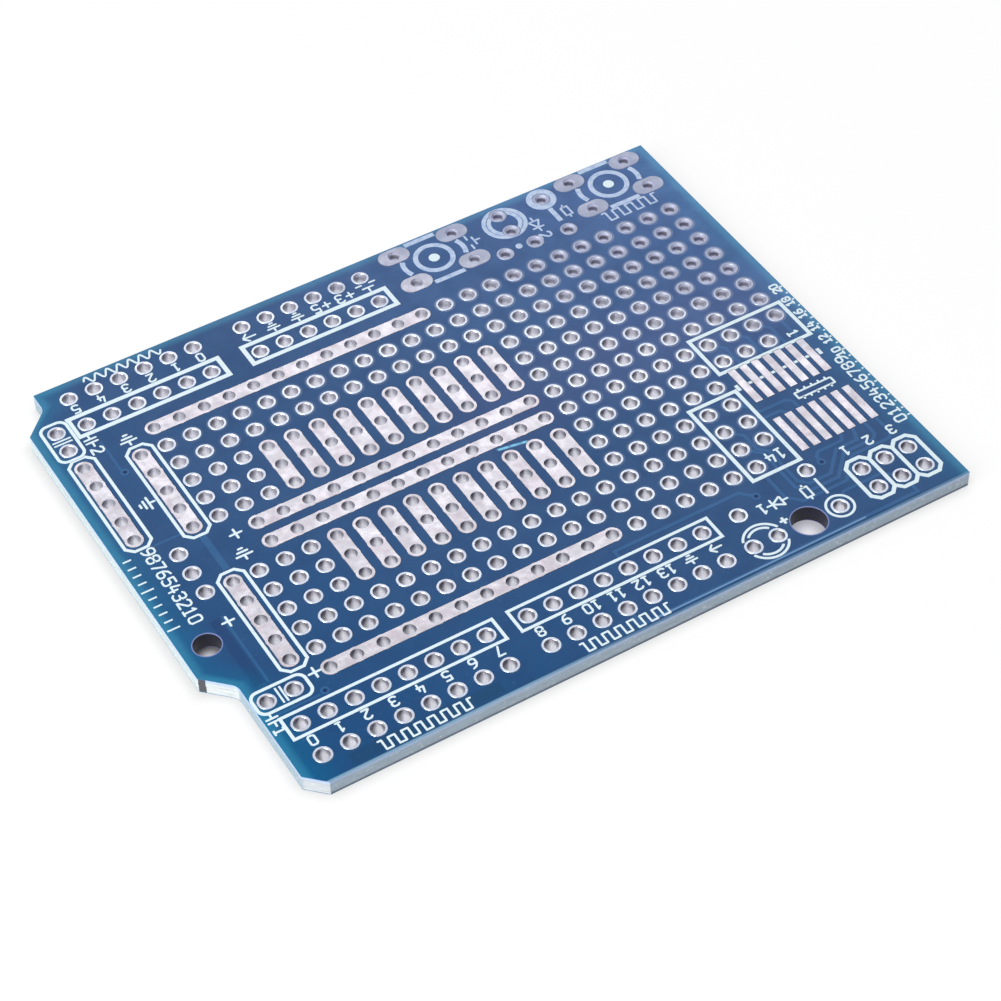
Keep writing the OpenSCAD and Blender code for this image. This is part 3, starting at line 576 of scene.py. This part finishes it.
def placed(strokes, centre, height, turn=180.0):
    """Strokes moved so that the middle of their box is at centre, in millimetres, and turned."""
    across = [x for stroke in strokes for x, _ in stroke]
    upright = [y for stroke in strokes for _, y in stroke]
    middle = ((min(across) + max(across)) / 2, (min(upright) + max(upright)) / 2)
    c, s = math.cos(math.radians(turn)), math.sin(math.radians(turn))
    moved = []
    for stroke in strokes:
        line = []
        for x, y in stroke:
            u, v = (x - middle[0]) * height, (y - middle[1]) * height
            line.append((centre[0] + c * u - s * v, centre[1] + s * u + c * v))
        moved.append(line)
    return moved


def header_marks():
    """Numbers beside the header holes, and signs where a pin has no number."""
    near_y, far_y = -22.1, 22.87
    strokes = []
    for pin in range(8):
        strokes += placed(digits(pin), (HEADER_X + PITCH * pin, near_y), 1.0)
    for pin in range(6):
        strokes += placed(digits(pin + 8), (SECOND_DIGITAL_X + PITCH * pin, near_y), 1.0)
    strokes += placed(SIGNS["ground"], (SECOND_DIGITAL_X + PITCH * 6, near_y), 1.0)
    strokes += placed(SIGNS["arrow"], (SECOND_DIGITAL_X + PITCH * 7, near_y), 0.9)
    for pin in range(6):
        strokes += placed(digits(5 - pin), (HEADER_X + PITCH * pin, far_y), 1.0)
    strokes += placed(SIGNS["arrow"], (POWER_X, far_y), 1.0)
    for pin in (1, 2):
        strokes += placed(SIGNS["ground"], (POWER_X + PITCH * pin, far_y), 1.1)
    for pin, number in ((3, 5), (4, 3)):
        strokes += placed(digits(number), (POWER_X + PITCH * pin - 0.5, far_y), 1.1)
        strokes += placed(SIGNS["plus"], (POWER_X + PITCH * pin + 0.6, far_y), 0.75)
    strokes += placed(SIGNS["button"], (POWER_X + PITCH * 5, far_y), 1.1)
    # Waves run along the outer sides of the rows
    for centre in (-20.57, -1.09):
        strokes += placed(square_wave(7), (centre, -25.6), 1.04)
    strokes += placed(sine_wave(7), (-23.27, 25.75), 0.86)
    return strokes


def rail_marks():
    """Signs that say which rail is ground and which is supply."""
    strokes = []
    for centre, turn in (((-27.05, 16.8), 180), ((-24.6, -0.95), 180), ((-29.05, 8.8), -90)):
        strokes += placed(SIGNS["ground"], centre, 1.35, turn)
    for centre, turn in (((-24.1, 1.5), 180), ((-29.3, -7.1), -90), ((-25.75, -15.9), -90)):
        strokes += placed(SIGNS["plus"], centre, 1.1, turn)
    return strokes


def component_marks():
    """A sign and a number beside each place for a component."""
    strokes = []
    for mark, centre, height, turn in (
        (SIGNS["capacitor"], (-31.1, -18.55), 1.0, -90),
        (digits(1), (-31.1, -19.85), 1.05, -90),
        (SIGNS["capacitor"], (-29.9, 18.5), 1.1, -90),
        (digits(2), (-29.9, 17.1), 1.1, -90),
        (SIGNS["lamp"], (17.9, -20.55), 1.1, 180),
        (digits(1), (16.3, -20.55), 1.1, 180),
        (SIGNS["resistor"], (20.8, -20.9), 1.0, -90),
        (SIGNS["lamp"], (19.35, 22.0), 1.1, -90),
        (digits(2), (19.35, 20.2), 1.1, -90),
        (SIGNS["resistor"], (22.9, 22.1), 1.0, -90),
        (SIGNS["button"], (13.1, 23.2), 1.1, -90),
        (square_wave(4), (28.5, 19.2), 1.25, 180),
        (SIGNS["chip"], (29.0, -10.65), 1.25, 180),
        (digits(14), (20.95, -15.75), 1.2, 180),
        (digits(1), (31.5, -3.7), 1.0, -90),
    ):
        strokes += placed(mark, centre, height, turn)
    for hole in range(3):
        strokes += placed(digits(hole + 1), (26.6 + PITCH * hole, -18.6), 1.0)
    return strokes


# The two printed rulers: millimetre ticks that run upwards from a lowest one
RIGHT_RULER = (RIGHT - 0.2, -17.9)
LEFT_RULER = (LEFT + 0.8, -5.4)


def ruler_marks():
    """Millimetre figures of the rulers, beside their ticks."""
    strokes = []
    for step in range(10):
        strokes += placed(digits(step), (33.25, RIGHT_RULER[1] + step), 1.1, 90)
        strokes += placed(digits(step), (-31.55, LEFT_RULER[1] + step), 1.15, -90)
    for step in range(10, 21, 2):
        strokes += placed(digits(step), (33.58, RIGHT_RULER[1] + step), 0.78, 90)
    return strokes


# Geometry Nodes


class Tree:
    """A geometry tree with a geometry input, named inputs, and short ways to add nodes to it."""

    def __init__(self, name, **kinds):
        self.group = bpy.data.node_groups.new(name, "GeometryNodeTree")
        new_socket = self.group.interface.new_socket
        self.identifiers = {}
        for label, kind in {"Geometry": "Geometry", **kinds}.items():
            socket = new_socket(label, in_out="INPUT", socket_type="NodeSocket" + kind)
            self.identifiers[label] = socket.identifier
        new_socket("Geometry", in_out="OUTPUT", socket_type="NodeSocketGeometry")
        self.given = self.group.nodes.new("NodeGroupInput").outputs
        self.result = self.group.nodes.new("NodeGroupOutput").inputs[0]

    def add(self, kind, inputs=None, **settings):
        """A node with its settings, and with its inputs set or linked, by name or place."""
        node = self.group.nodes.new(kind)
        for key, value in settings.items():
            setattr(node, key, value)
        for key, value in (inputs or {}).items():
            if isinstance(value, bpy.types.NodeSocket):
                self.group.links.new(value, node.inputs[key])
            else:
                node.inputs[key].default_value = value
        return node

    def math(self, operation, *values):
        return self.add("ShaderNodeMath", dict(enumerate(values)), operation=operation).outputs[0]

    def vector(self, *parts):
        return self.add("ShaderNodeCombineXYZ", dict(enumerate(parts))).outputs[0]

    def finish(self, instances):
        """Makes the instances real, gives them their ink, and hands them out."""
        real = self.add("GeometryNodeRealizeInstances", {0: instances})
        ink = {"Geometry": real.outputs[0], "Material": self.given["Ink"]}
        self.group.links.new(self.add("GeometryNodeSetMaterial", ink).outputs[0], self.result)


def baked(name, source, tree, values):
    """The result of a tree on a source mesh, as a plain mesh that rides on the board."""
    carrier = bpy.data.objects.new(name + "_source", source)
    bpy.context.collection.objects.link(carrier)
    modifier = carrier.modifiers.new("nodes", "NODES")
    modifier.node_group = tree.group
    for label, value in values.items():
        modifier[tree.identifiers[label]] = value
    evaluated = carrier.evaluated_get(bpy.context.evaluated_depsgraph_get())
    mesh = bpy.data.meshes.new_from_object(evaluated)
    bpy.data.objects.remove(carrier)
    piece = bpy.data.objects.new(name, mesh)
    bpy.context.collection.objects.link(piece)
    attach(piece, "root")
    return piece


def stroke_tree():
    """Turns every edge into a flat bar of ink and every point into a disc of it."""
    tree = Tree(
        "printed_strokes", Line_Width="Float", Ink_Height="Float", Round_Steps="Int", Ink="Material"
    )
    edges, width, height = (tree.given[name] for name in ("Geometry", "Line_Width", "Ink_Height"))

    # Discs are a little lower than bars, so that no two tops share a level
    disc = tree.add(
        "GeometryNodeMeshCylinder",
        {
            "Vertices": tree.given["Round_Steps"],
            "Radius": tree.math("MULTIPLY", width, 0.5),
            "Depth": tree.math("MULTIPLY", height, 0.84),
        },
    )
    discs = tree.add(
        "GeometryNodeInstanceOnPoints", {"Points": edges, "Instance": disc.outputs["Mesh"]}
    )

    # Every edge becomes a point that remembers the way along the edge and its length
    ends = tree.add("GeometryNodeInputMeshEdgeVertices").outputs
    span = tree.add(
        "ShaderNodeVectorMath", {0: ends["Position 2"], 1: ends["Position 1"]}, operation="SUBTRACT"
    ).outputs[0]
    length = tree.add("ShaderNodeVectorMath", {0: span}, operation="LENGTH").outputs["Value"]
    kept = tree.add("GeometryNodeCaptureAttribute", {"Geometry": edges}, domain="EDGE")
    for label, kind, value in (("span", "VECTOR", span), ("length", "FLOAT", length)):
        kept.capture_items.new(kind, label)
        tree.group.links.new(value, kept.inputs[label])
    middles = tree.add(
        "GeometryNodeMeshToPoints", {"Mesh": kept.outputs["Geometry"]}, mode="EDGES"
    )

    # Each point takes a bar, and neighbouring bars differ in height, because they cross
    bar = tree.add("GeometryNodeMeshCube", {"Size": tree.vector(1.0, width, height)})
    turn = tree.add(
        "FunctionNodeAlignRotationToVector",
        {"Vector": kept.outputs["span"]},
        axis="X",
        pivot_axis="Z",
    )
    place = tree.add("GeometryNodeInputIndex").outputs[0]
    level = tree.math("MULTIPLY_ADD", tree.math("MODULO", place, 4.0), -0.04, 1.0)
    bars = tree.add(
        "GeometryNodeInstanceOnPoints",
        {
            "Points": middles.outputs["Points"],
            "Instance": bar.outputs["Mesh"],
            "Rotation": turn.outputs[0],
            "Scale": tree.vector(kept.outputs["length"], 1.0, level),
        },
    )

    joined = tree.add("GeometryNodeJoinGeometry", {0: discs.outputs[0]})
    tree.group.links.new(bars.outputs[0], joined.inputs[0])
    tree.finish(joined.outputs[0])
    return tree


def ruler_tree():
    """A row of ruler ticks from a lowest one upwards: every fifth is long."""
    tree = Tree(
        "ruler_ticks",
        Start="Vector",
        Step="Float",
        Count="Int",
        Tick="Vector",
        Long_Factor="Float",
        Ink="Material",
    )
    row = tree.add(
        "GeometryNodeMeshLine",
        {
            "Count": tree.given["Count"],
            "Start Location": tree.given["Start"],
            "Offset": tree.vector(0.0, tree.given["Step"], 0.0),
        },
    )
    tick = tree.add("GeometryNodeMeshCube", {"Size": tree.given["Tick"]})
    place = tree.add("GeometryNodeInputIndex").outputs[0]
    is_fifth = tree.math("LESS_THAN", tree.math("MODULO", place, 5.0), 0.5)
    growth = tree.add(
        "ShaderNodeMapRange",
        {"Value": is_fifth, "To Min": 1.0, "To Max": tree.given["Long_Factor"]},
    )
    ticks = tree.add(
        "GeometryNodeInstanceOnPoints",
        {
            "Points": row.outputs[0],
            "Instance": tick.outputs["Mesh"],
            "Scale": tree.vector(growth.outputs["Result"], 1.0, 1.0),
        },
    )
    tree.finish(ticks.outputs[0])
    return tree


INK_HEIGHT = 0.028
INK_MIDDLE = MASK_TOP + INK_HEIGHT / 2
STROKES, RULER = stroke_tree(), ruler_tree()


def printed(name, strokes, width):
    """A piece of white print made from strokes in millimetres."""
    points, edges = [], []
    for stroke in strokes:
        first = len(points)
        points += [(x * MM, y * MM, INK_MIDDLE * MM) for x, y in stroke]
        edges += [(first + k, first + k + 1) for k in range(len(stroke) - 1)]
    mesh = bpy.data.meshes.new(name)
    mesh.from_pydata(points, edges, [])
    values = {
        "Line_Width": width * MM,
        "Ink_Height": INK_HEIGHT * MM,
        "Round_Steps": 12,
        "Ink": INK,
    }
    return baked(name, mesh, STROKES, values)


def ruler(name, start, count, tick_length):
    """The ticks of a printed millimetre ruler."""
    values = {
        "Start": (start[0] * MM, start[1] * MM, INK_MIDDLE * MM),
        "Step": MM,
        "Count": count,
        "Tick": (tick_length * MM, 0.17 * MM, INK_HEIGHT * MM),
        "Long_Factor": 1.5,
        "Ink": INK,
    }
    return baked(name, bpy.data.meshes.new(name), RULER, values)


printed("header_numbers", header_marks(), 0.19)
printed("rail_signs", rail_marks(), 0.22)
printed("component_signs", component_marks(), 0.2)
printed("ruler_numbers", ruler_marks(), 0.19)
ruler("right_ruler_ticks", RIGHT_RULER, 21, 0.2)
ruler("left_ruler_ticks", LEFT_RULER, 10, 0.8)


# Floor, light and camera


def add_floor():
    """A wide pale sheet that stays white to the camera and still takes the board's shadow."""
    half = 3.0
    corners = [(-half, -half, 0), (half, -half, 0), (half, half, 0), (-half, half, 0)]
    mesh = bpy.data.meshes.new("floor")
    mesh.from_pydata(corners, [], [(0, 1, 2, 3)])
    floor = bpy.data.objects.new("floor", mesh)
    floor.location.z = -0.02 * MM
    bpy.context.collection.objects.link(floor)
    paper = Finish("pale_paper", roughness=0.9, specular=0.0)
    white = paper.mix(paper.noise(8.0), srgb(252, 252, 253), srgb(250, 250, 252))
    ray = paper.nodes.new("ShaderNodeLightPath").outputs
    direct = paper.math("MAXIMUM", ray["Is Camera Ray"], ray["Is Transmission Ray"])
    seen = paper.math("MAXIMUM", direct, ray["Is Glossy Ray"])
    # Seen directly, the paper keeps only a trace of the shadow
    paper.colour(paper.mix(paper.product(seen, 0.85), white, (0.0, 0.0, 0.0, 1.0)))
    # A narrow dark line where the board touches the paper, and a soft shade along its left edge
    contact = paper.nodes.new("ShaderNodeAmbientOcclusion")
    contact.inputs["Distance"].default_value = 1.2 * MM
    open_sky = paper.range(contact.outputs["AO"], 0.5, 1.0, 0.78, 1.0, smooth=False)
    beside = paper.patch((LEFT - 1.9, NOTCH_CORNER[1] - 2.0), (LEFT + 4.0, FAR - 3.0), 1.6)
    open_sky = paper.product(open_sky, paper.math("MULTIPLY_ADD", beside, -0.06, 1.0))
    # It lies in a bluish shade inside the two mounting holes, deeper in the left one
    hole_shade = 0.0
    for (centre, radius), at_centre, at_wall in zip(MOUNTS, (0.2, 0.1), (0.92, 0.42)):
        depth = paper.range(paper.distance(centre), 0.0, (radius + 0.05) * MM, at_centre, at_wall)
        inside = paper.disc(centre, radius + 0.05, radius + 0.1)
        hole_shade = paper.math("MULTIPLY_ADD", inside, depth, hole_shade)
    open_sky = paper.product(open_sky, paper.math("SUBTRACT", 1.0, hole_shade))
    in_hole = paper.range(hole_shade, 0.0, 0.2)
    tone = paper.mix(in_hole, (1.0, 1.0, 1.0, 1.0), (0.9, 0.9, 1.0, 1.0))
    paper.put(paper.shader.inputs["Emission Color"], tone)
    mirrored = paper.product(ray["Is Glossy Ray"], 1.1)
    shown = paper.math("MAXIMUM", paper.product(direct, open_sky), mirrored)
    paper.put(paper.shader.inputs["Emission Strength"], paper.product(shown, 0.86))
    mesh.materials.append(paper.material)


def add_world():
    """A pale room, white where the camera sees it and dimmer as a light."""
    world = bpy.data.worlds.new("studio")
    bpy.context.scene.world = world
    world.use_nodes = True
    nodes, link = world.node_tree.nodes, world.node_tree.links.new
    background = nodes["Background"].inputs
    ray = nodes.new("ShaderNodeLightPath").outputs
    seen = nodes.new("ShaderNodeMath")
    seen.operation = "MAXIMUM"
    link(ray["Is Camera Ray"], seen.inputs[0])
    link(ray["Is Transmission Ray"], seen.inputs[1])
    strength = nodes.new("ShaderNodeMapRange")
    strength.inputs["To Min"].default_value = 0.25
    strength.inputs["To Max"].default_value = 1.0
    link(seen.outputs[0], strength.inputs["Value"])
    background["Color"].default_value = (0.97, 0.985, 1.0, 1.0)
    link(strength.outputs["Result"], background["Strength"])


def add_lamp(name, place, size, power):
    """A square soft light that points at the middle of the board."""
    lamp = bpy.data.lights.new(name, "AREA")
    lamp.shape = "SQUARE"
    lamp.size = size
    lamp.energy = power
    lamp_object = bpy.data.objects.new(name, lamp)
    lamp_object.location = place
    lamp_object.rotation_euler = (-Vector(place)).to_track_quat("-Z", "Y").to_euler()
    bpy.context.collection.objects.link(lamp_object)


def add_camera():
    """The photo's viewpoint: bearing, height and tilt were solved from the holes of the board."""
    bearing, height, roll = math.radians(-30.161), math.radians(46.988), math.radians(-1.478)
    distance = 245.795 * MM
    target = Vector((-2.529 * MM, -7.436 * MM, 1.761 * MM))
    focal_pixels, image_pixels, sensor = 2796.75, 1001, 36.0
    level = math.cos(height)
    away = Vector((level * math.sin(bearing), -level * math.cos(bearing), math.sin(height)))
    right = (-away).cross(Vector((0, 0, 1))).normalized()
    up = right.cross(-away)
    tilted_right = math.cos(roll) * right + math.sin(roll) * up
    tilted_up = -math.sin(roll) * right + math.cos(roll) * up
    data = bpy.data.cameras.new("camera")
    data.sensor_width = sensor
    data.lens = focal_pixels / image_pixels * sensor
    data.clip_start, data.clip_end = 0.01, 20.0
    camera = bpy.data.objects.new("camera", data)
    turned = Matrix((tilted_right, tilted_up, away)).transposed().to_4x4()
    camera.matrix_world = Matrix.Translation(target + away * distance) @ turned
    bpy.context.collection.objects.link(camera)
    bpy.context.scene.camera = camera


add_floor()
add_world()
add_lamp("window_left", (-0.56, -0.15, 0.42), size=0.45, power=6.2)
add_lamp("soft_back", (0.35, 0.6, 0.5), size=0.5, power=1.6)
add_camera()
bpy.context.scene.view_settings.view_transform = "Standard"
